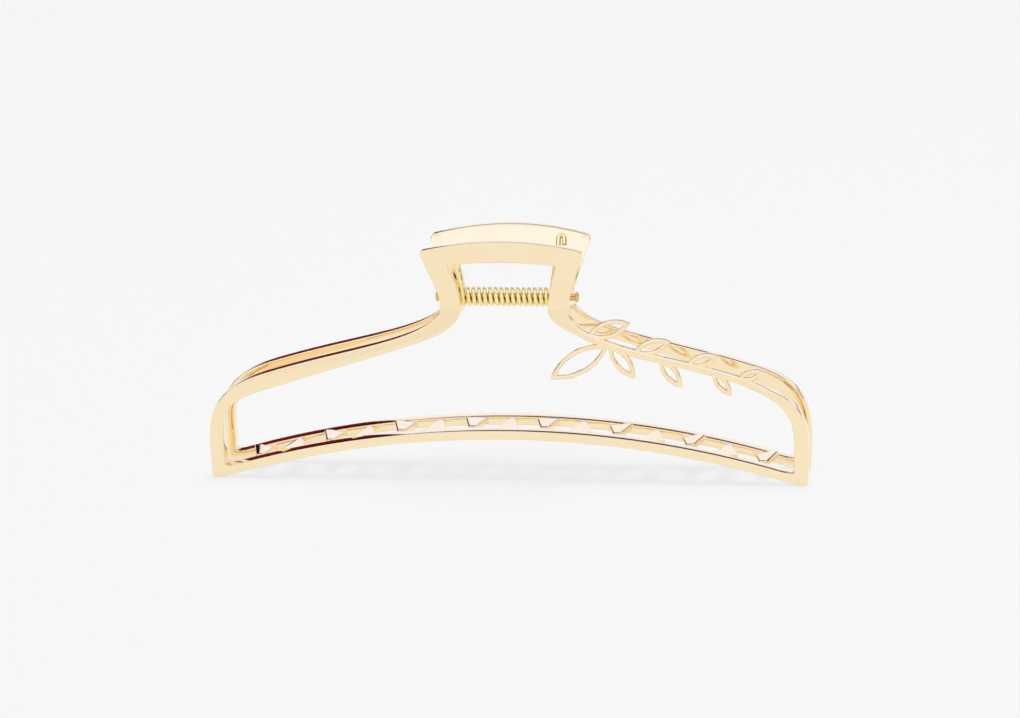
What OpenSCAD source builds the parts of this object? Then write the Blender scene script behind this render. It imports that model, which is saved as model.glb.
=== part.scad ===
// Metal claw clip for long hair: two open cast jaws on one hinge pin, closed by a torsion spring.
// Frame: X runs along the clip, Y from the front jaw to the rear jaw, Z up.
// The origin is on the table under the middle of the clip, which stands on the ends of its jaws.

/* [Whole clip] */
// Length over the two ends of a jaw
clip_length = 116; // [104:1:128]
// Height of the hinge pin's axis above the table
hinge_z = 35.1; // [34.6:0.1:35.4]

/* [Jaw seen from the front] */
// Height of the toothed bar's top edge at mid-length
arch_top = 10.25; // [9.5:0.05:11]
// Radius of the toothed bar's arch
arch_r = 192; // [186:1:215]
// Width of the toothed bar's face
bar_w = 1.8; // [1.4:0.1:2.2]
// Width of the upright bar at each end
end_w = 2.85; // [2.4:0.05:3.4]
// Half the width over the two legs of the neck
neck_half = 12.5; // [11.8:0.1:13]
// Width of each leg of the neck
leg_w = 4; // [3.4:0.1:4.2]
// Half the width of the finger plate at its widest
plate_half = 15.5; // [14.5:0.1:17]
// Height of the finger plate's arched top edge
plate_top = 47.8; // [46.8:0.1:49]
// Width of the finger plate's cross bar
plate_w = 4.45; // [3.8:0.05:4.8]

/* [Jaw seen from the end] */
// Distance from the middle plane to a jaw's outer face at the belly
belly_y = 6.8; // [6.4:0.1:7.2]
// Height of the belly's widest part
belly_z = 9; // [7:0.5:11]
// Radius of the belly's outer face
belly_r = 145; // [135:1:160]
// Thickness of the casting at the belly
belly_t = 3.1; // [2.7:0.1:3.3]
// Thickness of the neck and the finger plate
neck_t = 1.8; // [1.5:0.1:1.9]
// Radius of the bend from the neck to the finger plate
flare_r = 12; // [10:0.5:14]
// Lean of the finger plate from upright, in degrees
lean = 24; // [20:1:27]

/* [Teeth] */
// Distance between neighbouring teeth of one jaw
tooth_pitch = 14; // [12:0.5:15]
// Width of a tooth at its root
tooth_root = 4.8; // [3.6:0.1:5.4]
// Width of a tooth at its tip
tooth_tip = 1.2; // [0.8:0.1:1.8]
// Thickness of a tooth
tooth_t = 1.4; // [1:0.1:1.6]
// Gap between a tooth's tip and the opposite bar when the clip is shut
tip_gap = 0.25; // [0.15:0.05:0.6]

/* [Hinge] */
// Diameter of the hinge pin
pin_d = 1.4; // [1.2:0.05:1.45]
// Diameter of the pin's peened heads
head_d = 2; // [1.8:0.05:2.3]
// Length of the pin over its heads
pin_length = 27.8; // [27:0.1:29]
// Outer radius of the hinge ears
ear_r = 2.3; // [2:0.05:2.35]
// Thickness of one ear
ear_t = 1.5; // [1.2:0.05:1.55]
// Running clearance of the pin in the front jaw's ears, on the radius
pin_play = 0.05; // [0.02:0.01:0.08]

/* [Spring] */
// Diameter of the spring wire
wire_d = 0.84; // [0.7:0.02:0.88]
// Mean radius of the coils
coil_r = 1.5; // [1.45:0.01:1.55]
// Length of the coiled part, between wire centres
coil_length = 16.6; // [15.6:0.1:16.8]
// Whole turns of the coil, to which the part turn between the legs is added
turns = 15; // [12:1:16]

/* [Leaf sprig] */
// Thickness of the sprig from front to back
sprig_t = 1.6; // [1.2:0.1:2]
// Width of the sprig's stem
stem_w = 1.5; // [1.2:0.1:2]
// Width of the wire that outlines a leaf
leaf_wire = 0.85; // [0.7:0.05:1.1]
// Number of leaves along the stem
leaves = 7; // [4:1:8]
// Length of the leaf that droops back under the neck
drooping_leaf = 13; // [9:0.5:14]
// Length of the first leaf on the stem
first_leaf = 8.6; // [6:0.2:9]
// Length of the last leaf on the stem
last_leaf = 5.4; // [4:0.2:6]
// Angle between a leaf and the stem, in degrees
leaf_spread = 34; // [26:1:36]

/* [Colours] */
// Plated jaws
gold = [0.93, 0.80, 0.58];
// Spring wire
spring_gold = [0.95, 0.80, 0.48];
// Hinge pin
pin_gold = [0.85, 0.68, 0.42];

/* [Hidden] */
$fn = 48;
half = clip_length / 2;
arch_cz = arch_top - arch_r;
waist_z = 33;
foot_x = half - 2.2;

// the side of a jaw: its outer face is one arc over the belly, one back round the neck, then straight
belly_cy = belly_y - belly_r;
waist_a = asin((waist_z - belly_z) / belly_r);
foot_side_a = asin(belly_z / belly_r);
waist_y = belly_cy + belly_r * cos(waist_a);
flare_cy = waist_y + flare_r * cos(waist_a);
flare_cz = waist_z + flare_r * sin(waist_a);
plate_y0 = flare_cy - flare_r * cos(lean);
plate_z0 = flare_cz + flare_r * sin(lean);
waist_in = flare_cy - sqrt(pow(flare_r + neck_t, 2) - pow(flare_cz - waist_z, 2));
inner_sag = belly_y - belly_t - waist_in;
inner_r = (pow(waist_z - belly_z, 2) + inner_sag * inner_sag) / (2 * inner_sag);

// where the sprig takes over from the front jaw's right arm
cut_near = 15;
cut_far = 51;
stem_steps = 24;

ear_gap = 0.15;
ear_out = neck_half - 0.1;
inner_ear_out = ear_out - ear_t - ear_gap;
skirt = 60;

function bez(p, n) = [for (i = [0 : n]) let (t = i / n, s = 1 - t)
    s * s * s * p[0] + 3 * s * s * t * p[1] + 3 * s * t * t * p[2] + t * t * t * p[3]];
function arc(c, r, a0, a1, n) = [for (i = [0 : n]) let (a = a0 + (a1 - a0) * i / n)
    c + r * [cos(a), sin(a)]];
function flip(pts) = [for (i = [len(pts) - 1 : -1 : 0]) [-pts[i][0], pts[i][1]]];
function unit(v) = v / norm(v);
// height of an arc of radius r about the arch's centre
function arch_z(x, r) = arch_cz + sqrt(r * r - x * x);
// distance of the inner face from the middle plane, below the waist
function inner_y(z) = belly_y - belly_t - inner_r + sqrt(inner_r * inner_r - pow(z - belly_z, 2));
// distance of the plate's inner face from the middle plane
function plate_in(z) = plate_y0 + (z - plate_z0) * tan(lean) - neck_t / cos(lean);

// ---------- outlines, as [x, z], right half from the bottom round to the top ----------

foot_a = acos(foot_x / (arch_r - bar_w));
top_rise = 1.75;
top_half = plate_half - 1.1;
top_r = (top_half * top_half + top_rise * top_rise) / (2 * top_rise);

outer_half = concat(
    arc([0, arch_cz], arch_r - bar_w, 90, foot_a, 16),
    [[foot_x + 0.2, 0], [half - 0.65, 0]],
    arc([half - 0.95, 0.7], 0.7, -50, 0, 3),
    bez([[half, 7], [half, 15.8], [half - 4, 19], [half - 12.5, 21.4]], 10),
    bez([[half - 13.5, 21.7], [half - 28, 26.1], [neck_half + 3.5, 27.6], [neck_half, waist_z]], 14),
    [[neck_half, 35.6]],
    arc([plate_half - 1, plate_top - top_rise - 1.05], 1, -20, 65, 5),
    arc([0, plate_top - top_r], top_r, 90 - asin(top_half / top_r) + 0.6, 90, 8)
);
inner_half = concat(
    arc([0, arch_cz], arch_r, 90, acos((half - end_w) / arch_r), 16),
    [[half - end_w, 7]],
    bez([[half - end_w, 10.5], [half - end_w, 15.5], [half - 6.5, 16.3], [half - 12, 17.9]], 8),
    bez([[half - 13, 18.2], [half - 22, 21.2], [neck_half + 9.5, 25.1], [neck_half + 1.5, 28.1]], 8),
    bez([[neck_half + 0.5, 28.5], [neck_half - 1.6, 29.5], [neck_half - leg_w - 0.2, 31.2], [neck_half - leg_w - 0.2, 34]], 8),
    [[neck_half - leg_w, 35.6], [plate_half - 5.2, plate_top - plate_w - 1]],
    [[plate_half - 5.5, plate_top - plate_w - 0.65], [0, plate_top - plate_w]]
);

module jaw_outline() {
    difference() {
        polygon(concat(outer_half, flip(outer_half)));
        polygon(concat(inner_half, flip(inner_half)));
    }
}

// ---------- side profiles, as [y, z] ----------

outer_side = concat(
    arc([belly_cy, belly_z], belly_r, -foot_side_a, waist_a, 14),
    arc([flare_cy, flare_cz], flare_r, 180 + waist_a, 180 - lean, 9)
);

function plate_end(y) = [y + (skirt - plate_z0) * tan(lean), skirt];

module jaw_side() {
    polygon(concat(
        outer_side,
        [plate_end(plate_y0), plate_end(plate_y0 - neck_t / cos(lean))],
        arc([flare_cy, flare_cz], flare_r + neck_t, 180 - lean, 180 + waist_a, 9),
        arc([belly_y - belly_t - inner_r, belly_z], inner_r,
            asin((waist_z - belly_z) / inner_r), -asin(belly_z / inner_r), 10)
    ));
}

module sprig_side() {
    polygon(concat(
        arc([belly_cy, belly_z], belly_r, -foot_side_a, waist_a, 14),
        arc([belly_cy, belly_z], belly_r - sprig_t, waist_a, -foot_side_a, 14)
    ));
}

// a side profile drawn out along X
module along_x(length) {
    rotate([90, 0, 90]) linear_extrude(length, center = true) children();
}

// an outline in the XZ plane drawn out towards +Y
module along_y(depth) {
    translate([0, depth, 0]) rotate([90, 0, 0]) linear_extrude(depth) children();
}

module casting() {
    intersection() {
        along_y(20) jaw_outline();
        along_x(clip_length + 2) jaw_side();
    }
}

// one tooth, rooted in the bar at x and pointing across to the other jaw
module tooth(x) {
    z = arch_z(x, arch_r) - 0.1;
    root_y = inner_y(z) + 0.6;
    tip_y = tip_gap - inner_y(z);
    translate([x, 0, z - tooth_t]) linear_extrude(tooth_t) polygon([
        [-tooth_root / 2, root_y], [tooth_root / 2, root_y],
        [tooth_tip / 2, tip_y], [-tooth_tip / 2, tip_y]
    ]);
}

// an ear: a plate that reaches from the neck to the pin, from x_out inwards
module ear(x_out, side) {
    translate([side > 0 ? x_out - ear_t : -x_out, 0, hinge_z]) {
        rotate([0, 90, 0]) cylinder(r = ear_r, h = ear_t);
        translate([0, 0, -ear_r]) cube([ear_t, waist_y - neck_t + 0.4, 2 * ear_r]);
    }
}

module bore(r) {
    translate([0, 0, hinge_z]) rotate([0, 90, 0]) cylinder(r = r, h = 40, center = true);
}

module jaw(ear_x, bore_r, tooth_xs) {
    difference() {
        union() {
            casting();
            for (side = [-1, 1]) ear(ear_x, side);
            for (x = tooth_xs) tooth(x);
        }
        bore(bore_r);
    }
}

// ---------- the pieces ----------

// The rear jaw holds the pin, which is pressed into its outer pair of ears.
module rear_jaw() {
    color(gold) jaw(ear_out, pin_d / 2, [for (i = [-3.5 : 3.5]) i * tooth_pitch]);
}

// The front jaw turns on the pin. Its right arm is the sprig.
module front_jaw() {
    color(gold) mirror([0, 1, 0]) difference() {
        jaw(inner_ear_out, pin_d / 2 + pin_play, [for (i = [-3 : 3]) i * tooth_pitch]);
        translate([cut_near, -1, 12]) cube([cut_far - cut_near, 20, 24]);
    }
}

// the stem lies where the arm's centre line would be
stem_line = bez([[cut_near, 28.85], [cut_near + 11, 25.3],
    [cut_far - 12, 21.6], [cut_far, 17.5]], stem_steps);
stem_lift = stem_w / 2 * [0.3, 1];

module lens(length, width) {
    r = (length * length + width * width) / (4 * width);
    intersection() {
        translate([length / 2, r - width / 2]) circle(r, $fn = 96);
        translate([length / 2, width / 2 - r]) circle(r, $fn = 96);
    }
}

// an open leaf that starts at the origin and points along +X
module leaf(length, width) {
    difference() {
        lens(length, width);
        translate([leaf_wire * 1.7, 0]) lens(length - leaf_wire * 3.4, width - 2 * leaf_wire);
    }
}

module stem() {
    intersection() {
        polygon(concat([for (p = stem_line) p + stem_lift],
            [for (i = [stem_steps : -1 : 0]) stem_line[i] - stem_lift]));
        translate([cut_near, 0]) square([cut_far - cut_near, 40]);
    }
}

// the largest leaf droops back under the neck, and the others point along the stem
module sprig_blank() {
    along_y(20) stem();
    along_y(20) translate(stem_line[4]) rotate(210) leaf(drooping_leaf, drooping_leaf * 0.36);
    for (i = [0 : leaves - 1]) {
        t = i / (leaves - 1);
        side = i % 2 == 0 ? 1 : -1;
        size = first_leaf + (last_leaf - first_leaf) * t;
        along_y(20) translate(stem_line[round(stem_steps * (0.06 + 0.74 * t))])
            rotate(-17 + side * leaf_spread) leaf(size, size * 0.4);
    }
}

module leaf_sprig() {
    color(gold) mirror([0, 1, 0]) intersection() {
        union() sprig_blank();
        along_x(clip_length + 2) sprig_side();
    }
}

module hinge_pin() {
    head_t = 0.7;
    color(pin_gold) translate([0, 0, hinge_z]) rotate([0, 90, 0]) {
        cylinder(d = pin_d, h = pin_length, center = true);
        for (side = [-1, 1])
            translate([0, 0, side * (pin_length - head_t) / 2]) cylinder(d = head_d, h = head_t, center = true);
    }
}

// ---------- the spring: one wire, swept along its own centre line ----------

wire_sides = 8;
steps = 16;
lie = wire_d / 2 + 0.08;
leg_a = -21.3;
leg_up = [0, -sin(leg_a), cos(leg_a)];
plate_up = [0, sin(lean), cos(lean)];
hook_x = 9.4;
hook_r = 0.58;
hook_z = 45.4;

// a wire's centre where it lies on the rear jaw's finger plate
function on_plate(x, z) = [x, plate_in(z) - lie / cos(lean), z];
function across(p) = [-p[0], -p[1], p[2]];

coil_turn = 360 * turns + 180 + 2 * leg_a;
coil = [for (i = [0 : steps * turns])
    let (f = i / (steps * turns), a = 180 - leg_a + f * coil_turn)
    [coil_length * (f - 0.5), coil_r * cos(a), hinge_z + coil_r * sin(a)]];
coil_end = coil[len(coil) - 1];
hook_c = on_plate(hook_x + hook_r, hook_z);
leg_end = hook_c - [hook_r, 0, 0] - 1.2 * plate_up;
leg = concat(
    [for (i = [1 : 12]) bez([coil_end, coil_end + 3.2 * leg_up,
        leg_end - 3.6 * plate_up - [0.2, 0.15, 0], leg_end], 12)[i]],
    [for (a = [0 : 30 : 180]) hook_c + hook_r * (-cos(a) * [1, 0, 0] + sin(a) * plate_up)],
    [hook_c + [hook_r, 0, 0] - 1.2 * plate_up]
);
wire = concat([for (i = [len(leg) - 1 : -1 : 0]) across(leg[i])], coil, leg);
last = len(wire) - 1;
runs = [for (i = [0 : last]) unit(wire[min(i + 1, last)] - wire[max(i - 1, 0)])];
// each ring's first radius is the one before it, turned as little as the wire's bend needs
first = unit(cross(runs[0], [1, 0, 0]));
radii = [for (i = 0, n = first; i <= last;
    i = i + 1, n = unit(n - (n * runs[min(i, last)]) * runs[min(i, last)])) n];

module torsion_spring() {
    rings = [for (i = [0 : last], k = [0 : wire_sides - 1]) let (a = 360 * k / wire_sides)
        wire[i] + wire_d / 2 * (cos(a) * radii[i] + sin(a) * cross(runs[i], radii[i]))];
    sides = [for (i = [0 : last - 1], k = [0 : wire_sides - 1])
        let (a = i * wire_sides + k, b = i * wire_sides + (k + 1) % wire_sides)
        each [[a, a + wire_sides, b], [b, a + wire_sides, b + wire_sides]]];
    ends = [[for (k = [0 : wire_sides - 1]) k],
        [for (k = [wire_sides - 1 : -1 : 0]) last * wire_sides + k]];
    color(spring_gold) polyhedron(rings, concat(sides, ends), convexity = 10);
}

rear_jaw();
front_jaw();
leaf_sprig();
hinge_pin();
torsion_spring();
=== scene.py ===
"""Looks of the claw hair clip: polished pale-gold jaws, a wire spring, a peened pin and a leaf sprig.

Lengths are written in millimetres, in the part's own frame, and become metres where a mesh is made.
"""

import math

import bmesh
import bpy
from mathutils import Matrix, Vector


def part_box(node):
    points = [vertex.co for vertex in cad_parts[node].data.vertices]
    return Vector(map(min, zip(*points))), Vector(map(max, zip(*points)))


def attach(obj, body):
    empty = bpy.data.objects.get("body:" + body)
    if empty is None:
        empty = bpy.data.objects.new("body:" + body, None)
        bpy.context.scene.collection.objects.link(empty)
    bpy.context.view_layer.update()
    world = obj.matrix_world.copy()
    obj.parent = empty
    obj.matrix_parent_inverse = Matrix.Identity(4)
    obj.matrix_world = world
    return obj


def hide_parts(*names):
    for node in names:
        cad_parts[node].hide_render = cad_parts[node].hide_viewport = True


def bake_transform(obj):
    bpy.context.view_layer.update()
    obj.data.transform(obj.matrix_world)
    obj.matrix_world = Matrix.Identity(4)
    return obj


MM = 0.001

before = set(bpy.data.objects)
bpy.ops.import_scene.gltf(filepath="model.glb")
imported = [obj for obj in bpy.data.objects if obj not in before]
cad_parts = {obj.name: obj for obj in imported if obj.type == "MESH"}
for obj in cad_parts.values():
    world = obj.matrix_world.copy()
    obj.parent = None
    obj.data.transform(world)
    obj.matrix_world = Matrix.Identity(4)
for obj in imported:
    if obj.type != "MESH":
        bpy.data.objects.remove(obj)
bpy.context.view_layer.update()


def mm_box(node):
    low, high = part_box(node)
    return low / MM, high / MM


# the side of the middle plane that a jaw is on
REAR, FRONT = 1, -1

# ---------- sizes, the same as the part's ----------

HALF = mm_box("rear_jaw")[1].x
PLATE_TOP = mm_box("rear_jaw")[1].z
PIN_LOW, PIN_HIGH = mm_box("hinge_pin")
HINGE_Z = (PIN_LOW.z + PIN_HIGH.z) / 2

ARCH_TOP, ARCH_R = 10.25, 192.0
BAR_W, END_W = 1.8, 2.85
NECK_HALF, LEG_W = 12.5, 4.0
PLATE_HALF, PLATE_W = 15.5, 4.45
WAIST_Z = 33.0
BELLY_Y, BELLY_Z, BELLY_R, BELLY_T = 6.8, 9.0, 145.0, 3.1
NECK_T, FLARE_R, LEAN = 1.8, 12.0, math.radians(24)
TOOTH_PITCH, TOOTH_ROOT, TOOTH_TIP, TOOTH_T, TIP_GAP = 14.0, 4.8, 1.2, 1.4, 0.25
EAR_R, EAR_T = 2.3, 1.5
EAR_OUT = NECK_HALF - 0.1
INNER_EAR_OUT = EAR_OUT - EAR_T - 0.15
PIN_R, HEAD_T, PIN_PLAY = 0.7, 0.7, 0.05
CUT_NEAR, CUT_FAR = 15.0, 51.0
SPRIG_T, STEM_W, LEAF_WIRE = 1.6, 1.5, 0.85
WIRE_R, COIL_R, COIL_LENGTH, TURNS = 0.42, 1.5, 16.6, 15

ARCH_CZ = ARCH_TOP - ARCH_R
WAIST_A = math.asin((WAIST_Z - BELLY_Z) / BELLY_R)
WAIST_Y = BELLY_Y - BELLY_R + BELLY_R * math.cos(WAIST_A)
FLARE_CY = WAIST_Y + FLARE_R * math.cos(WAIST_A)
FLARE_CZ = WAIST_Z + FLARE_R * math.sin(WAIST_A)
PLATE_Y0 = FLARE_CY - FLARE_R * math.cos(LEAN)
PLATE_Z0 = FLARE_CZ + FLARE_R * math.sin(LEAN)
WAIST_IN = FLARE_CY - math.sqrt((FLARE_R + NECK_T) ** 2 - (FLARE_CZ - WAIST_Z) ** 2)
INNER_SAG = BELLY_Y - BELLY_T - WAIST_IN
INNER_R = ((WAIST_Z - BELLY_Z) ** 2 + INNER_SAG**2) / (2 * INNER_SAG)


def outer_y(z):
    """Distance of a jaw's outer face from the middle plane."""
    if z < WAIST_Z:
        return BELLY_Y - BELLY_R + math.sqrt(BELLY_R**2 - (z - BELLY_Z) ** 2)
    if z < PLATE_Z0:
        return FLARE_CY - math.sqrt(FLARE_R**2 - (z - FLARE_CZ) ** 2)
    return PLATE_Y0 + (z - PLATE_Z0) * math.tan(LEAN)


def inner_y(z):
    """Distance of a jaw's inner face from the middle plane."""
    outer_bend = FLARE_R + NECK_T
    bend_top = FLARE_CZ + outer_bend * math.sin(LEAN)
    if z < WAIST_Z:
        return BELLY_Y - BELLY_T - INNER_R + math.sqrt(INNER_R**2 - (z - BELLY_Z) ** 2)
    if z < bend_top:
        return FLARE_CY - math.sqrt(outer_bend**2 - (z - FLARE_CZ) ** 2)
    return PLATE_Y0 + (z - PLATE_Z0) * math.tan(LEAN) - NECK_T / math.cos(LEAN)


# ---------- plane curves, as (x, z) ----------


def bezier(p, n):
    """n + 1 points of a cubic curve with the four control points p."""
    out = []
    for i in range(n + 1):
        t = i / n
        s = 1 - t
        k = (s**3, 3 * s * s * t, 3 * s * t * t, t**3)
        out.append(tuple(sum(k[j] * p[j][c] for j in range(4)) for c in (0, 1)))
    return out


def arc(centre, r, a0, a1, n):
    """n + 1 points of an arc, with its angles in degrees."""
    angles = [math.radians(a0 + (a1 - a0) * i / n) for i in range(n + 1)]
    return [(centre[0] + r * math.cos(a), centre[1] + r * math.sin(a)) for a in angles]


def arch(r, x0, x1, n):
    """n + 1 points of an arc about the arch's centre."""
    xs = [x0 + (x1 - x0) * i / n for i in range(n + 1)]
    return [(x, ARCH_CZ + math.sqrt(r * r - x * x)) for x in xs]


def resample(points, n):
    """n + 1 points evenly spaced along a polyline."""
    run = [0.0]
    for a, b in zip(points, points[1:]):
        run.append(run[-1] + math.dist(a, b))
    out, k = [], 0
    for i in range(n + 1):
        s = run[-1] * i / n
        while k < len(points) - 2 and run[k + 1] < s:
            k += 1
        t = (s - run[k]) / max(run[k + 1] - run[k], 1e-9)
        out.append(tuple(points[k][c] + (points[k + 1][c] - points[k][c]) * t for c in (0, 1)))
    return out


def split_at(points, keys):
    """The polyline cut at its vertices nearest to the keys."""
    cuts = [min(range(len(points)), key=lambda i: math.dist(points[i], k)) for k in keys]
    cuts = [0, *cuts, len(points) - 1]
    return [points[a : b + 1] for a, b in zip(cuts, cuts[1:])]


# ---------- the jaw's outline: pairs of points across the bar, right half, bottom to top ----------

FOOT_X, FOOT_R = HALF - 2.2, 0.7
TOP_RISE = 1.75
TOP_HALF = PLATE_HALF - 1.1
TOP_R = (TOP_HALF**2 + TOP_RISE**2) / (2 * TOP_RISE)
TOP_CZ = PLATE_TOP - TOP_R
WINDOW_HALF, WINDOW_RISE = PLATE_HALF - 5.8, 0.65
WINDOW_TOP = PLATE_TOP - PLATE_W
WINDOW_R = (WINDOW_HALF**2 + WINDOW_RISE**2) / (2 * WINDOW_RISE)
CORNER_Z, CORNER_R = PLATE_TOP - TOP_RISE - 1.05, 1

# where the curves of the outer contour meet, going up
END_OUT = (HALF, 7)
SHOULDER_OUT = (HALF - 12.5, 21.4)
WAIST_OUT = (NECK_HALF, WAIST_Z)
NECK_OUT = (NECK_HALF, 35.2)
CORNER_OUT = (PLATE_HALF - 0.06, CORNER_Z - 0.35)

# where the curves of the inner contour meet, going up
ELBOW_IN = (HALF - END_W - 1.2, 2.62)
BEND_IN = (HALF - END_W, 3.3)
END_IN = (HALF - END_W, 9)
SHOULDER_IN = (HALF - 12, 17.9)
ARMPIT_IN = (NECK_HALF + 1.5, 28.1)
LEG_IN = (NECK_HALF - LEG_W - 0.2, 34)
LIP_IN = (PLATE_HALF - 5.2, WINDOW_TOP - 1.1)
WINDOW_IN = (WINDOW_HALF, WINDOW_TOP - WINDOW_RISE)


def outer_contour():
    top_a = math.degrees(math.asin(TOP_HALF / TOP_R)) - 0.6
    return (
        arch(ARCH_R - BAR_W, 0, FOOT_X, 200)
        + resample([(FOOT_X + 0.2, 0), (HALF - 0.65, 0)], 8)
        + arc((HALF - 0.25 - FOOT_R, FOOT_R), FOOT_R, -50, 0, 8)
        + resample([(HALF - 0.25, FOOT_R), END_OUT], 20)
        + bezier([END_OUT, (HALF, 15.8), (HALF - 4, 19), SHOULDER_OUT], 80)
        + bezier([SHOULDER_OUT, (HALF - 28, 26.1), (NECK_HALF + 3.5, 27.6), WAIST_OUT], 200)
        + resample([WAIST_OUT, NECK_OUT], 16)
        + bezier([NECK_OUT, (NECK_HALF + 0.05, 36), (NECK_HALF + 0.5, 37.4), CORNER_OUT], 60)
        + arc((PLATE_HALF - CORNER_R, CORNER_Z), CORNER_R, -20, 75, 16)
        + arc((0, TOP_CZ), TOP_R, 90 - top_a, 90, 60)
    )


def inner_contour():
    window_a = math.degrees(math.asin(WINDOW_HALF / WINDOW_R))
    lip_x, lip_z = LIP_IN
    return (
        arch(ARCH_R, 0, ELBOW_IN[0], 200)
        + bezier([ELBOW_IN, (HALF - END_W - 0.3, 2.35), (HALF - END_W, 2.5), BEND_IN], 12)
        + resample([BEND_IN, END_IN], 20)
        + bezier([END_IN, (HALF - END_W, 15), (HALF - 6.5, 16.3), SHOULDER_IN], 80)
        + bezier([SHOULDER_IN, (HALF - 22, 21.2), (NECK_HALF + 9.5, 25.1), ARMPIT_IN], 160)
        + bezier([ARMPIT_IN, (11.3, 29.3), (LEG_IN[0], 31.2), LEG_IN], 80)
        + bezier([LEG_IN, (NECK_HALF - LEG_W, 36.6), (PLATE_HALF - 6.2, 39.4), LIP_IN], 60)
        + bezier([LIP_IN, (lip_x + 0.1, lip_z + 0.45), (lip_x - 0.1, lip_z + 0.55), WINDOW_IN], 10)
        + arc((0, WINDOW_TOP - WINDOW_R), WINDOW_R, 90 - window_a, 90, 60)
    )


# where a line straight across the bar meets its two contours, and how many steps lead up to it
CROSSINGS = [
    ((HALF - 4.4, 1.2), ELBOW_IN, 60),
    ((HALF - 0.35, 2.6), BEND_IN, 16),
    (END_OUT, (HALF - END_W, 7), 4),
    ((HALF - 11.2, 21.0), SHOULDER_IN, 28),
    ((NECK_HALF + 2.4, 30.1), ARMPIT_IN, 36),
    ((NECK_HALF, 34), (NECK_HALF - LEG_W - 0.25, 33), 16),
    ((NECK_HALF + 0.15, 36.5), (NECK_HALF - LEG_W, 36.2), 4),
    ((PLATE_HALF - 0.06, CORNER_Z - 0.4), LIP_IN, 12),
    ((PLATE_HALF - 1.1, CORNER_Z + 1), WINDOW_IN, 12),
]
TOP_STEPS = 22


def half_pairs():
    """Pairs of (outer, inner) points, from the middle of the lower bar to the middle of the plate."""
    steps = [n for _, _, n in CROSSINGS] + [TOP_STEPS]
    outer = split_at(outer_contour(), [o for o, _, _ in CROSSINGS])
    inner = split_at(inner_contour(), [i for _, i, _ in CROSSINGS])
    pairs = []
    for o, i, n in zip(outer, inner, steps):
        run = list(zip(resample(o, n), resample(i, n)))
        pairs += run[:-1]
    return pairs + run[-1:]


def mirrored(pairs):
    return [((-o[0], o[1]), (-i[0], i[1])) for o, i in pairs]


def ring_pairs():
    """All round a whole jaw: up the right half and down the left."""
    right = half_pairs()
    return right + mirrored(right)[-2:0:-1]


# ---------- mesh building ----------

ROUND_STEPS, MOST_ROUND = 5, 0.48
MERGE_GAP = 0.0005


def circle_angles(n):
    return [math.tau * k / n for k in range(n)]


def mesh_object(name, verts, faces):
    mesh = bpy.data.meshes.new(name)
    mesh.from_pydata([Vector(v) for v in verts], [], faces)
    mesh.validate()
    obj = bpy.data.objects.new(name, mesh)
    bpy.context.scene.collection.objects.link(obj)
    return obj


def rounded_profile(w, t, r, steps, crown=0.0):
    """A rounded rectangle, as (across, through) from -0.5 to 0.5, whose four sides swell by the crown."""
    flat_w, flat_t = w - 2 * r, t - 2 * r
    points = []
    for sx, sy, a0 in ((1, 1, 0), (-1, 1, 90), (-1, -1, 180), (1, -1, 270)):
        for k in range(steps + 1):
            a = math.radians(a0 + 90 * k / steps)
            points.append((sx * flat_w / 2 + r * math.cos(a), sy * flat_t / 2 + r * math.sin(a)))
        for k in (0.25, 0.0, -0.25) if crown else ():
            # along the side that follows this corner
            if sx == sy:
                points.append((sx * flat_w * k, sy * t / 2))
            else:
                points.append((sx * w / 2, sy * flat_t * k))
    swollen = []
    for x, y in points:
        pull_x = 1 - crown * (2 * y / t) ** 2 * 2 / w
        pull_y = 1 - crown * (2 * x / w) ** 2 * 2 / t
        swollen.append((x * pull_x / w, y * pull_y / t))
    return swollen


def skin(sections, closed):
    """Quads between equal rings of points, with a cap on each open end."""
    n = len(sections[0])
    faces = []
    last = len(sections) if closed else len(sections) - 1
    for i in range(last):
        a, b = i * n, (i + 1) % len(sections) * n
        faces += [(a + k, a + (k + 1) % n, b + (k + 1) % n, b + k) for k in range(n)]
    if not closed:
        faces += [tuple(range(n - 1, -1, -1)), tuple(range((len(sections) - 1) * n, len(sections) * n))]
    return [v for s in sections for v in s], faces


def middle(pair):
    return tuple((pair[0][c] + pair[1][c]) / 2 for c in (0, 1))


def narrowed(pair, factor):
    """The pair with its points drawn towards its middle."""
    mid = middle(pair)
    return tuple(tuple(m + (c - m) * factor for c, m in zip(p, mid)) for p in pair)


def ribbon(pairs, side, depth, r, closed, crown=0.0, taper=None):
    """A bar that follows pairs of (outer, inner) points, laid in a jaw's curved shell.

    depth(z) gives the bar's near and far distance from the middle plane. Open ends are rounded off; taper is
    (length, width, thickness): how they narrow to what they are joined to."""
    sections = []
    for pair in pairs:
        w = math.dist(*pair)
        mid_z = middle(pair)[1]
        slim = 0.0
        if taper:
            length, end_w, end_t = taper
            gap = min(math.dist(middle(pair), middle(end)) for end in (pairs[0], pairs[-1]))
            slim = max(0.0, 1 - gap / length)
            slim = slim * slim * (3 - 2 * slim)
            factor = 1 + (end_w / w - 1) * slim
            pair = narrowed(pair, factor)
            w *= factor

        def reach(z):
            near, far = depth(z)
            return (near + (far - end_t - near) * slim if taper else near), far

        near, far = reach(mid_z)
        t = far - near
        ring = []
        for a, b in rounded_profile(w, t, min(r, MOST_ROUND * w, MOST_ROUND * t), ROUND_STEPS, crown):
            x, z = (i + (o - i) * (a + 0.5) for o, i in zip(*pair))
            near_z, far_z = reach(z)
            ring.append((x, side * (near_z + (far_z - near_z) * (b + 0.5)), z))
        sections.append(ring)
    if not closed:
        sections = rounded_end(sections, 0, r) + sections + rounded_end(sections, -1, r)
    return skin(sections, closed)


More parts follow.
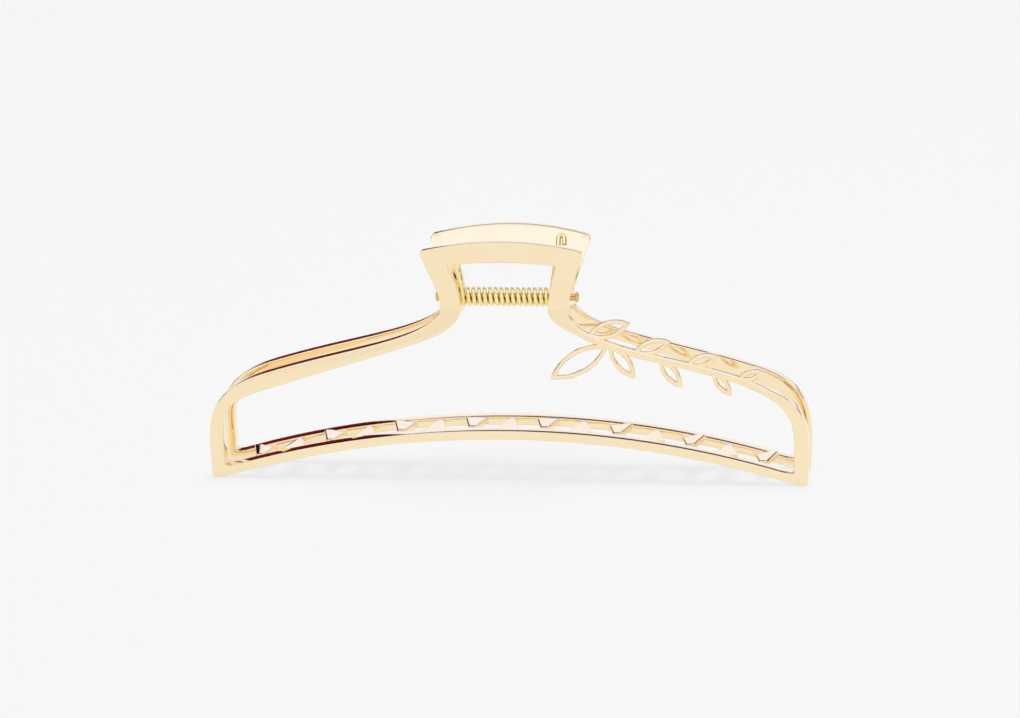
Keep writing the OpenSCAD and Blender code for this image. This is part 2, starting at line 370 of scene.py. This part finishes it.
def rounded_end(sections, at, r):
    """Two more rings that draw an open end in; at is 0 for the first end and -1 for the last."""
    ring = [Vector(v) for v in sections[at]]
    beside = [Vector(v) for v in sections[1 if at == 0 else -2]]
    centre = sum(ring, Vector()) / len(ring)
    out = (centre - sum(beside, Vector()) / len(beside)).normalized()
    shrink_and_reach = ((0.93, 0.6), (0.75, 1.0))
    small = [[tuple(centre + (v - centre) * k + out * r * d) for v in ring] for k, d in shrink_and_reach]
    return small if at == -1 else small[::-1]


def combined(parts):
    """One list of vertices and faces from several that don't touch."""
    verts, faces = [], []
    for v, f in parts:
        base = len(verts)
        verts += v
        faces += [tuple(i + base for i in face) for face in f]
    return verts, faces


def face_out(obj):
    bm = bmesh.new()
    bm.from_mesh(obj.data)
    bmesh.ops.recalc_face_normals(bm, faces=bm.faces)
    bm.to_mesh(obj.data)
    bm.free()


def boolean(obj, tool, operation):
    """obj joined with or cut by tool, which is used up."""
    face_out(tool)
    mod = obj.modifiers.new(operation, "BOOLEAN")
    mod.object = tool
    mod.operation = operation
    mod.solver = "EXACT"
    graph = bpy.context.evaluated_depsgraph_get()
    made = bpy.data.meshes.new_from_object(obj.evaluated_get(graph))
    obj.modifiers.clear()
    obj.data = made
    bpy.data.objects.remove(tool)


def finish_mesh(obj, sharp_angle=38):
    """Into metres, with smooth shading and the edges sharper than this kept crisp."""
    bm = bmesh.new()
    bm.from_mesh(obj.data)
    bmesh.ops.remove_doubles(bm, verts=bm.verts, dist=MERGE_GAP)
    bmesh.ops.scale(bm, verts=bm.verts, vec=(MM, MM, MM))
    for f in bm.faces:
        f.smooth = True
    limit = math.radians(sharp_angle)
    for e in bm.edges:
        e.smooth = len(e.link_faces) == 2 and e.calc_face_angle(0) < limit
    bm.to_mesh(obj.data)
    bm.free()
    weigh = obj.modifiers.new("even_normals", "WEIGHTED_NORMAL")
    weigh.keep_sharp = True


# ---------- the jaws ----------


TOOTH_EASE, TOOTH_CROWN, TOOTH_THINNING = 0.32, 0.02, 0.12
# shares of a tooth's length, and how far its section is drawn in there
TOOTH_SHARES = ((0, 0), (0.12, 0), (0.3, 0), (0.55, 0), (0.8, 0), (0.95, 0), (0.985, 0.128), (1.0, 0.384))


def tooth(x, side):
    """A flat, blunt tooth with round edges, from inside the bar to its tip."""
    z = ARCH_CZ + math.sqrt(ARCH_R**2 - x * x) - 0.1 - TOOTH_T / 2
    root = inner_y(z) + 0.6
    tip = TIP_GAP - inner_y(z)
    sections = []
    for share, drawn_in in TOOTH_SHARES:
        w = TOOTH_ROOT + (TOOTH_TIP - TOOTH_ROOT) * share - drawn_in
        t = TOOTH_T * (1 - TOOTH_THINNING * share) - drawn_in
        y = root + (tip - root) * share
        lift = TOOTH_T / 2 * TOOTH_THINNING * share
        ring = rounded_profile(w, t, min(TOOTH_EASE, w * 0.4, t * 0.4), 4, TOOTH_CROWN)
        sections.append([(x + a * w, side * y, z + lift + b * t) for a, b in ring])
    return skin(sections, closed=False)


EAR_EASE = 0.2


def ear_outline(r):
    """The ear seen along the pin: round about the pin, straight back to the neck, as (y, z)."""
    back = WAIST_Y - NECK_T + 0.4
    curve = arc((0, HINGE_Z), r, 90, 270, 28)
    return curve + [(back, HINGE_Z - r), (back, HINGE_Z + r)]


def ear(x_out, end, side):
    """One hinge ear, with its edges eased."""
    eased = ((0, EAR_EASE), (EAR_EASE * 0.3, EAR_EASE * 0.3), (EAR_EASE, 0))
    rows = eased + tuple((EAR_T - depth, inset) for depth, inset in reversed(eased))
    sections = []
    for depth, inset in rows:
        sections.append([(end * (x_out - depth), side * y, z) for y, z in ear_outline(EAR_R - inset)])
    return skin(sections, closed=False)


def bore_tool(r):
    reach = HALF / 3
    rim = arc((0, HINGE_Z), r, 0, 360 - 360 / 48, 47)
    ends = [[(x, y, z) for y, z in rim] for x in (-reach, reach)]
    return mesh_object("bore_tool", *skin(ends, closed=False))


EDGE_R, CROWN = 0.2, 0.045
STUB_TAPER = (6.0, STEM_W + 0.1, SPRIG_T + 0.1)


def jaw_shell(z):
    return inner_y(z), outer_y(z)


def jaw(name, node, pairs, side, ear_out, bore_r, tooth_xs):
    """One casting: its bar, with teeth and ears joined on and the pin's bore cut through."""
    closed = node == "rear_jaw"
    bar = ribbon(pairs, side, jaw_shell, EDGE_R, closed, CROWN, None if closed else STUB_TAPER)
    casting = mesh_object(name, *bar)
    face_out(casting)
    added = [tooth(x, side) for x in tooth_xs] + [ear(ear_out, end, side) for end in (-1, 1)]
    boolean(casting, mesh_object("added", *combined(added)), "UNION")
    boolean(casting, bore_tool(bore_r), "DIFFERENCE")
    finish_mesh(casting)
    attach(casting, node)
    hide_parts(node)
    return casting


def front_pairs():
    """The front jaw's open run: from the neck's stub over the plate and round to the far stub."""
    ring = ring_pairs()
    in_cut = []
    for i, pair in enumerate(ring):
        x, z = middle(pair)
        if CUT_NEAR < x < CUT_FAR and z > ARCH_TOP:
            in_cut.append(i)
    return ring[in_cut[-1] + 1 :] + ring[: in_cut[0]]


# ---------- the leaf sprig ----------

STEM_STEPS, STEM_POINTS = 24, 60
STEM_PULL = 11
ROOT_IN = 1.5
STEM_EASE, LEAF_EASE = 0.5, 0.4
LEAVES, FIRST_LEAF, LAST_LEAF, LEAF_SHAPE = 7, 8.6, 5.4, 0.4
LEAF_LEAN, SPREAD = -17, 34
DROOPING, DROOPING_SHAPE, DROOPING_TURN = 13.0, 0.36, 210


def stub_end(at, step):
    """The middle of one of the front jaw's open ends, and the way it points."""
    pairs = front_pairs()
    here, before = middle(pairs[at]), middle(pairs[at + step])
    run = math.dist(here, before)
    return here, ((here[0] - before[0]) / run, (here[1] - before[1]) / run)


def beyond(end, length):
    (x, z), (run_x, run_z) = end
    return x + run_x * length, z + run_z * length


NEAR_END, FAR_END = stub_end(0, 4), stub_end(-1, -4)
STEM = bezier(
    [NEAR_END[0], beyond(NEAR_END, STEM_PULL), beyond(FAR_END, STEM_PULL), FAR_END[0]],
    STEM_STEPS,
)


def stem_shell(z):
    return outer_y(z) - SPRIG_T, outer_y(z)


def leaf_shell(z):
    """A little shallower than the stem, so that no faces lie on each other."""
    return outer_y(z) - SPRIG_T + 0.15, outer_y(z) - 0.12


def leaf_pairs(at, turn, length, width):
    """The two edges of an open leaf's wire, all round it."""
    a = math.radians(turn)

    def lens(long, wide, start):
        r = (long * long + wide * wide) / (4 * wide)
        half_a = math.degrees(math.asin(long / 2 / r))
        top = arc((start + long / 2, wide / 2 - r), r, 90 + half_a, 90 - half_a, 18)
        low = [(x, -y) for x, y in top]
        return top + low[-2:0:-1]

    outer = lens(length, width, 0)
    inner = lens(length - 3.4 * LEAF_WIRE, width - 2 * LEAF_WIRE, 1.7 * LEAF_WIRE)

    def place(p):
        x, z = p
        return at[0] + x * math.cos(a) - z * math.sin(a), at[1] + x * math.sin(a) + z * math.cos(a)

    return [(place(o), place(i)) for o, i in zip(outer, inner)]


def stem_pairs():
    """The two edges of the stem, which is rooted a little inside both stubs."""
    line = resample([beyond(NEAR_END, -ROOT_IN), *STEM, beyond(FAR_END, -ROOT_IN)], STEM_POINTS)
    pairs = []
    for i, (x, z) in enumerate(line):
        before, after = line[max(i - 1, 0)], line[min(i + 1, STEM_POINTS)]
        reach = STEM_W / 2 / math.dist(before, after)
        dx, dz = (before[1] - after[1]) * reach, (after[0] - before[0]) * reach
        pairs.append(((x + dx, z + dz), (x - dx, z - dz)))
    return pairs


def leaf_sprig():
    """The stem, one drooping leaf, and leaves set alternately above and below."""
    sprig = mesh_object("leaf_sprig_openwork", *ribbon(stem_pairs(), FRONT, stem_shell, STEM_EASE, False))
    face_out(sprig)
    leaves = [leaf_pairs(STEM[4], DROOPING_TURN, DROOPING, DROOPING * DROOPING_SHAPE)]
    for i in range(LEAVES):
        share = i / (LEAVES - 1)
        size = FIRST_LEAF + (LAST_LEAF - FIRST_LEAF) * share
        at = STEM[round(STEM_STEPS * (0.06 + 0.74 * share))]
        turn = LEAF_LEAN + (SPREAD if i % 2 == 0 else -SPREAD)
        leaves.append(leaf_pairs(at, turn, size, size * LEAF_SHAPE))
    for pairs in leaves:
        loop = ribbon(pairs, FRONT, leaf_shell, LEAF_EASE, True)
        boolean(sprig, mesh_object("leaf", *loop), "UNION")
    finish_mesh(sprig, 50)
    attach(sprig, "front_jaw")
    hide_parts("leaf_sprig")
    return sprig


# ---------- pin and spring ----------


def hinge_pin():
    """The pin, turned about X, with a peened dome on each end."""
    end = PIN_HIGH.x
    head_r = (PIN_HIGH.z - PIN_LOW.z) / 2
    half_profile = [
        (0, PIN_R),
        (end - HEAD_T - 0.15, PIN_R),
        (end - HEAD_T, PIN_R + 0.06),
        (end - HEAD_T + 0.02, head_r - 0.1),
        (end - HEAD_T + 0.12, head_r),
        (end - 0.42, head_r),
        (end - 0.22, head_r * 0.9),
        (end - 0.08, head_r * 0.66),
        (end - 0.01, head_r * 0.34),
        (end, head_r * 0.1),
    ]
    profile = [(-x, r) for x, r in half_profile[:0:-1]] + half_profile
    sections = []
    for x, r in profile:
        sections.append([(x, r * math.cos(a), HINGE_Z + r * math.sin(a)) for a in circle_angles(32)])
    pin = mesh_object("hinge_pin_peened", *skin(sections, closed=False))
    face_out(pin)
    finish_mesh(pin, 50)
    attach(pin, "rear_jaw")
    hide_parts("hinge_pin")
    return pin


# how far the wire's centre lies from the plate, where the leg leaves the coil, and the hairpin
LIE = WIRE_R + 0.08
LEG_A = math.radians(-21.3)
HOOK_X, HOOK_R, HOOK_Z, HOOK_LEG = 9.4, 0.58, 45.4, 1.2


def bezier3(p, n):
    """n points of a cubic curve in space, without its first."""
    out = []
    for i in range(1, n + 1):
        t = i / n
        s = 1 - t
        out.append(p[0] * s**3 + p[1] * 3 * s * s * t + p[2] * 3 * s * t * t + p[3] * t**3)
    return out


def spring_path():
    """The wire's centre line: a leg with a hairpin, the coil, and the other leg."""
    turn = math.tau * TURNS + math.pi + 2 * LEG_A
    steps = 36 * TURNS
    coil = []
    for i in range(steps + 1):
        f = i / steps
        a = math.pi - LEG_A + f * turn
        coil.append(Vector((COIL_LENGTH * (f - 0.5), COIL_R * math.cos(a), HINGE_Z + COIL_R * math.sin(a))))
    up = Vector((0, math.sin(LEAN), math.cos(LEAN)))
    leg_up = Vector((0, -math.sin(LEG_A), math.cos(LEG_A)))
    hook = Vector((HOOK_X + HOOK_R, inner_y(HOOK_Z) - LIE / math.cos(LEAN), HOOK_Z))
    leg_end = hook - Vector((HOOK_R, 0, 0)) - HOOK_LEG * up
    before_end = leg_end - 3.6 * up - Vector((0.2, 0.15, 0))
    leg = bezier3([coil[-1], coil[-1] + 3.2 * leg_up, before_end, leg_end], 24)
    for k in range(13):
        a = math.pi * k / 12
        leg.append(hook + HOOK_R * (Vector((-math.cos(a), 0, 0)) + math.sin(a) * up))
    leg.append(hook + Vector((HOOK_R, 0, 0)) - HOOK_LEG * up)
    across = [Vector((-p.x, -p.y, p.z)) for p in reversed(leg)]
    return across + coil + leg


def torsion_spring():
    path = spring_path()
    last = len(path) - 1
    sizes = {0: (0.7, 0.92), last: (1, 0.7)}
    side = Vector((1, 0, 0)).cross(path[1] - path[0])
    sections = []
    for i, p in enumerate(path):
        run = (path[min(i + 1, last)] - path[max(i - 1, 0)]).normalized()
        side = (side - side.dot(run) * run).normalized()
        up = run.cross(side)
        for size in sizes.get(i, (1,)):
            r = WIRE_R * size
            rim = [p + r * (math.cos(a) * side + math.sin(a) * up) for a in circle_angles(16)]
            sections.append([tuple(v) for v in rim])
    spring = mesh_object("torsion_spring_wire", *skin(sections, closed=False))
    face_out(spring)
    finish_mesh(spring, 60)
    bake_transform(spring)
    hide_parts("torsion_spring")
    return spring


# ---------- materials ----------

DRIFT_SCALE, GRAIN_SCALE = 90, 400
MARKS_SCALE, MARKS_SPREAD = (220, 2600, 2600), 0.06
FLOOR_TONES = (0.86, 0.86, 0.86, 1), (0.87, 0.87, 0.87, 1)


def srgb(r, g, b):
    def linear(c):
        c /= 255
        return c / 12.92 if c <= 0.04045 else ((c + 0.055) / 1.055) ** 2.4

    return linear(r), linear(g), linear(b), 1


def plated(name, light, deep, rough, wave_size, wave_height):
    """Polished plating: a slow drift of colour, fine polishing marks and a faintly uneven surface."""
    mat = bpy.data.materials.new(name)
    mat.use_nodes = True
    nodes, links = mat.node_tree.nodes, mat.node_tree.links
    shader = nodes["Principled BSDF"]
    shader.inputs["Metallic"].default_value = 1
    where = nodes.new("ShaderNodeTexCoord")

    drift = nodes.new("ShaderNodeTexNoise")
    drift.inputs["Scale"].default_value = DRIFT_SCALE
    drift.inputs["Detail"].default_value = 3
    tint = nodes.new("ShaderNodeMix")
    tint.data_type = "RGBA"
    tint.inputs["A"].default_value = light
    tint.inputs["B"].default_value = deep
    links.new(where.outputs["Object"], drift.inputs["Vector"])
    links.new(drift.outputs["Fac"], tint.inputs["Factor"])
    links.new(tint.outputs["Result"], shader.inputs["Base Color"])

    stretch = nodes.new("ShaderNodeMapping")
    stretch.inputs["Scale"].default_value = MARKS_SCALE
    marks = nodes.new("ShaderNodeTexNoise")
    marks.inputs["Scale"].default_value = 1
    marks.inputs["Detail"].default_value = 4
    spread = nodes.new("ShaderNodeMapRange")
    spread.inputs["From Min"].default_value = 0.3
    spread.inputs["From Max"].default_value = 0.75
    spread.inputs["To Min"].default_value = rough
    spread.inputs["To Max"].default_value = rough + MARKS_SPREAD
    links.new(where.outputs["Object"], stretch.inputs["Vector"])
    links.new(stretch.outputs["Vector"], marks.inputs["Vector"])
    links.new(marks.outputs["Fac"], spread.inputs["Value"])
    links.new(spread.outputs["Result"], shader.inputs["Roughness"])

    wave = nodes.new("ShaderNodeTexNoise")
    wave.inputs["Scale"].default_value = 1 / wave_size
    wave.inputs["Detail"].default_value = 1
    bump = nodes.new("ShaderNodeBump")
    bump.inputs["Strength"].default_value = 1
    bump.inputs["Distance"].default_value = wave_height
    links.new(where.outputs["Object"], wave.inputs["Vector"])
    links.new(wave.outputs["Fac"], bump.inputs["Height"])
    links.new(bump.outputs["Normal"], shader.inputs["Normal"])
    return mat


def dress(obj, mat):
    obj.data.materials.clear()
    obj.data.materials.append(mat)


# ---------- stage, light and camera ----------


def plane(name, centre, size, turn, mat):
    w, h = size[0] / 2 * MM, size[1] / 2 * MM
    obj = mesh_object(name, [(-w, -h, 0), (w, -h, 0), (w, h, 0), (-w, h, 0)], [(0, 1, 2, 3)])
    obj.location = Vector(centre) * MM
    obj.rotation_euler = [math.radians(a) for a in turn]
    dress(obj, mat)
    return obj


def floor_material():
    mat = bpy.data.materials.new("floor_paper")
    mat.use_nodes = True
    nodes, links = mat.node_tree.nodes, mat.node_tree.links
    shader = nodes["Principled BSDF"]
    shader.inputs["Roughness"].default_value = 0.9
    shader.inputs["Specular IOR Level"].default_value = 0.0
    where = nodes.new("ShaderNodeTexCoord")
    grain = nodes.new("ShaderNodeTexNoise")
    grain.inputs["Scale"].default_value = GRAIN_SCALE
    tone = nodes.new("ShaderNodeMix")
    tone.data_type = "RGBA"
    tone.inputs["A"].default_value, tone.inputs["B"].default_value = FLOOR_TONES
    links.new(where.outputs["Object"], grain.inputs["Vector"])
    links.new(grain.outputs["Fac"], tone.inputs["Factor"])
    links.new(tone.outputs["Result"], shader.inputs["Base Color"])
    return mat


def card_material(name, height, ramp, strength):
    """A glowing card whose colour changes up its height; ramp is (share of the height, linear colour)."""
    mat = bpy.data.materials.new(name)
    mat.use_nodes = True
    nodes, links = mat.node_tree.nodes, mat.node_tree.links
    shader = nodes["Principled BSDF"]
    shader.inputs["Base Color"].default_value = (0, 0, 0, 1)
    shader.inputs["Specular IOR Level"].default_value = 0
    shader.inputs["Emission Strength"].default_value = strength
    where = nodes.new("ShaderNodeTexCoord")
    parts = nodes.new("ShaderNodeSeparateXYZ")
    share = nodes.new("ShaderNodeMapRange")
    share.inputs["From Min"].default_value = -height / 2 * MM
    share.inputs["From Max"].default_value = height / 2 * MM
    colours = nodes.new("ShaderNodeValToRGB")
    stops = colours.color_ramp.elements
    while len(stops) < len(ramp):
        stops.new(0.5)
    for stop, (at, colour) in zip(stops, ramp):
        stop.position = at
        stop.color = (*colour, 1)
    links.new(where.outputs["Object"], parts.inputs["Vector"])
    links.new(parts.outputs["Y"], share.inputs["Value"])
    links.new(share.outputs["Result"], colours.inputs["Fac"])
    links.new(colours.outputs["Color"], shader.inputs["Emission Color"])
    return mat


def reflection_card(name, centre, size, turn, ramp, strength):
    """A card seen only in the metal."""
    card = plane(name, centre, size, turn, card_material(name, size[1], ramp, strength))
    card.visible_camera = False
    card.visible_diffuse = False
    card.visible_shadow = False


def area_light(name, centre, target, size, power):
    data = bpy.data.lights.new(name, "AREA")
    data.shape = "RECTANGLE"
    data.size, data.size_y = size[0] * MM, size[1] * MM
    data.energy = power
    obj = bpy.data.objects.new(name, data)
    bpy.context.scene.collection.objects.link(obj)
    obj.location = Vector(centre) * MM
    obj.rotation_mode = "QUATERNION"
    obj.rotation_quaternion = (Vector(target) - Vector(centre)).to_track_quat("-Z", "Y")
    obj.visible_glossy = False
    return obj


def make_world(strength):
    world = bpy.data.worlds.new("studio")
    bpy.context.scene.world = world
    world.use_nodes = True
    back = world.node_tree.nodes["Background"]
    back.inputs["Color"].default_value = (1, 1, 1, 1)
    back.inputs["Strength"].default_value = strength


CAMERA_AZ, CAMERA_EL, CAMERA_ROLL = math.radians(8.0), math.radians(14.5), math.radians(-1.4)
CAMERA_REACH, LENS = 720, 132.1
LOOK_AT = Vector((0.25, 0, 22.75))


def make_camera():
    data = bpy.data.cameras.new("camera")
    data.lens, data.sensor_width = LENS, 36
    data.clip_start, data.clip_end = 0.01, 50
    obj = bpy.data.objects.new("camera", data)
    bpy.context.scene.collection.objects.link(obj)
    back = Vector((
        math.sin(CAMERA_AZ) * math.cos(CAMERA_EL),
        -math.cos(CAMERA_AZ) * math.cos(CAMERA_EL),
        math.sin(CAMERA_EL),
    ))
    right = Vector((math.cos(CAMERA_AZ), math.sin(CAMERA_AZ), 0))
    up = back.cross(right)
    turned_right = right * math.cos(CAMERA_ROLL) + up * math.sin(CAMERA_ROLL)
    turned_up = up * math.cos(CAMERA_ROLL) - right * math.sin(CAMERA_ROLL)
    axes = Matrix((turned_right, turned_up, back)).transposed().to_4x4()
    obj.matrix_world = Matrix.Translation((LOOK_AT + back * CAMERA_REACH) * MM) @ axes
    bpy.context.scene.camera = obj


make_camera()

rear_teeth = [(k - 3.5) * TOOTH_PITCH for k in range(8)]
front_teeth = [(k - 3) * TOOTH_PITCH for k in range(7)]
rear = jaw("rear_jaw_casting", "rear_jaw", ring_pairs(), REAR, EAR_OUT, PIN_R, rear_teeth)
bore_r = PIN_R + PIN_PLAY
front = jaw("front_jaw_casting", "front_jaw", front_pairs(), FRONT, INNER_EAR_OUT, bore_r, front_teeth)
sprig = leaf_sprig()
pin = hinge_pin()
spring = torsion_spring()

gold = plated("polished_pale_gold", srgb(255, 238, 203), srgb(254, 231, 190), 0.04, 0.014, 0.00002)
for obj in (rear, front, sprig):
    dress(obj, gold)
dress(pin, plated("pin_gold", srgb(240, 208, 152), srgb(226, 188, 126), 0.14, 0.002, 0.00003))
dress(spring, plated("spring_gold", srgb(255, 244, 192), srgb(255, 236, 172), 0.12, 0.003, 0.00002))

plane("floor", (0, 600, 0), (8000, 8000), (0, 0, 0), floor_material())
WHITE, PALE, GREY, DIM = (0.98, 1.0, 1.2), (0.95, 0.92, 0.88), (0.84, 0.83, 0.83), (0.81, 0.81, 0.81)
MAROON, BLACK = (0.15, 0.009, 0.004), (0.020, 0.003, 0.002)
BROWN, UMBER = (0.13, 0.062, 0.026), (0.05, 0.023, 0.010)
CARDS = (
    # name, centre, size, turn, ramp, strength
    ("card_left_back", (-1200, 1500, 350), (1640, 700), (90, 0, 0),
     [(0.0, PALE), (0.05, PALE), (0.11, MAROON), (0.46, MAROON), (0.58, BLACK), (1.0, BLACK)], 1),
    ("card_right_back", (900, 1500, 45), (1500, 90), (90, 0, 0),
     [(0.0, PALE), (0.3, BROWN), (0.8, BROWN), (1.0, PALE)], 1),
    ("card_back", (0, 2400, 1150), (7000, 2300), (90, 0, 0),
     [(0.0, PALE), (0.34, WHITE), (0.38, UMBER), (0.46, UMBER), (0.5, WHITE), (0.86, WHITE), (1.0, GREY)], 1),
    ("card_ceiling", (0, 450, 1500), (2600, 2500), (0, 0, 0),
     [(0.0, WHITE), (0.5, WHITE), (0.6, UMBER), (1.0, UMBER)], 1),
    ("card_left", (-2600, 600, 1150), (3600, 900), (90, 0, 90), [(0.0, BROWN), (1.0, BROWN)], 1),
    ("card_right", (2600, 600, 1150), (3600, 900), (90, 0, 90), [(0.0, BROWN), (1.0, BROWN)], 1),
    ("card_front", (0, -2500, 1250), (7000, 2500), (90, 0, 0),
     [(0.0, DIM), (0.3, GREY), (0.55, WHITE), (0.8, WHITE), (1.0, GREY)], 1.1),
)
for card in CARDS:
    reflection_card(*card)

make_world(0.85)
area_light("top_soft", (250, -50, 2800), (0, 100, 0), (2000, 1200), 20.0)

bpy.context.scene.view_settings.view_transform = "Standard"

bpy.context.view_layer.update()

# the metal throws no coloured light, so that the shadow on the floor stays neutral
for obj in (rear, front, sprig, pin, spring):
    obj.visible_diffuse = False
